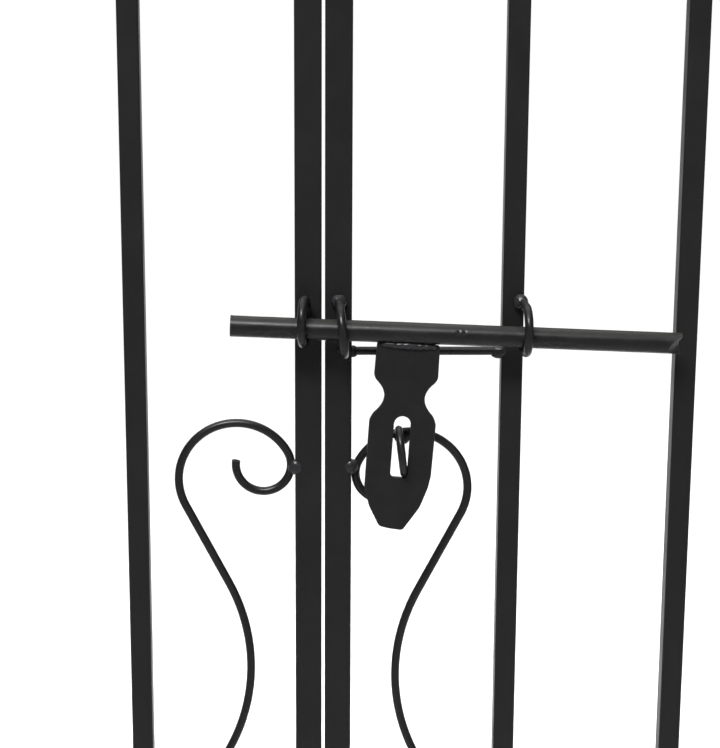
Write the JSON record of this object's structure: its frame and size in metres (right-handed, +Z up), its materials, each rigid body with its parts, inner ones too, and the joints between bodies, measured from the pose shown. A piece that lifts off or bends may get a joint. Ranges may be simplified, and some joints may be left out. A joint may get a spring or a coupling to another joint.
{
  "type": "metal trellis garden arch with gate",
  "caption": "Black powder-coated steel garden arch with trellis sides and a double gate closed by a padlock bolt.",
  "frame": {"origin": "on the ground at the centre of the footprint", "axes": "+Z up, +Y along the walkway from the gate to the back, +X to the right seen from the front"},
  "size_m": [1.1218, 0.52, 2.3529],
  "materials": {
    "powder_coat_tube": "satin black polyester powder coat on square steel tube",
    "powder_coat_wire": "satin black powder coat on round steel wire",
    "powder_coat_latch": "satin black powder coat on bar and plate, a little uneven",
    "powder_coat_weld": "satin black powder coat over lumpy weld metal",
    "powder_coat_hinge": "satin black powder coat, rubbed where the eye turns",
    "cap_plastic": "black polyethylene",
    "fastener_zinc_black": "black zinc-plated steel",
    "bare_steel": "plain drawn steel, hidden inside the tubes"
  },
  "bodies": {
    "arch": {"post_front_left": "powder_coat_tube", "post_front_right": "powder_coat_tube", "post_rear_left": "powder_coat_tube", "post_rear_right": "powder_coat_tube", "hoop_front_left": "powder_coat_tube", "hoop_front_right": "powder_coat_tube", "hoop_rear_left": "powder_coat_tube", "hoop_rear_right": "powder_coat_tube", "foot_plates": "powder_coat_tube", "joint_spigots": "bare_steel", "joint_bolts": "fastener_zinc_black", "joint_nuts": "fastener_zinc_black", "side_rungs_left": "powder_coat_tube", "side_rungs_right": "powder_coat_tube", "side_rods_left": "powder_coat_wire", "side_rods_right": "powder_coat_wire", "side_scrolls_left": "powder_coat_wire", "side_scrolls_right": "powder_coat_wire", "roof_rungs_left": "powder_coat_tube", "roof_rungs_right": "powder_coat_tube", "roof_rods_left": "powder_coat_wire", "roof_rods_right": "powder_coat_wire", "hinge_pins_left": "powder_coat_hinge", "hinge_pins_right": "powder_coat_hinge"},
    "left_leaf": {"meeting_stile_left": "powder_coat_tube", "hinge_stile_left": "powder_coat_tube", "stile_caps_left": "cap_plastic", "top_rail_left": "powder_coat_tube", "bottom_rail_left": "powder_coat_tube", "infill_bars_left": "powder_coat_tube", "gate_scroll_left": "powder_coat_wire", "hinge_eyes_left": "powder_coat_hinge", "scroll_welds_left": "powder_coat_weld", "keeper_ring": "powder_coat_wire", "keeper_weld": "powder_coat_weld"},
    "right_leaf": {"meeting_stile_right": "powder_coat_tube", "hinge_stile_right": "powder_coat_tube", "stile_caps_right": "cap_plastic", "top_rail_right": "powder_coat_tube", "bottom_rail_right": "powder_coat_tube", "infill_bars_right": "powder_coat_tube", "gate_scroll_right": "powder_coat_wire", "hinge_eyes_right": "powder_coat_hinge", "scroll_welds_right": "powder_coat_weld", "guide_stile": "powder_coat_wire", "guide_bar": "powder_coat_wire", "guide_welds": "powder_coat_weld", "brace_wire": "powder_coat_wire", "staple_ring": "powder_coat_wire", "staple_weld": "powder_coat_weld"},
    "bolt": {"bolt_rod": "powder_coat_latch"},
    "hasp": {"hasp_plate": "powder_coat_latch", "hasp_weld": "powder_coat_weld"}
  },
  "joints": [
    {"name": "left_leaf_swing", "type": "hinge", "parent": "arch", "child": "left_leaf", "pos_m": [-0.5109, -0.215, 0.19], "axis": [0, 0, 1], "range_deg": [-90, 90]},
    {"name": "right_leaf_swing", "type": "hinge", "parent": "arch", "child": "right_leaf", "pos_m": [0.5109, -0.215, 0.19], "axis": [0, 0, -1], "range_deg": [-90, 90]},
    {"name": "bolt_slide", "type": "slide", "parent": "right_leaf", "child": "bolt", "axis": [0.9992, 0, -0.0398], "range_m": [0, 0.0433]},
    {"name": "hasp_turn", "type": "hinge", "parent": "bolt", "child": "hasp", "pos_m": [0.0471, -0.2375, 0.69812], "axis": [-0.9992, 0, 0.0398], "range_deg": [0, 180]}
  ],
  "couplings": [
    {"joint": "bolt_slide", "follows": "hasp_turn", "m_per_rad": 0.013751}
  ]
}
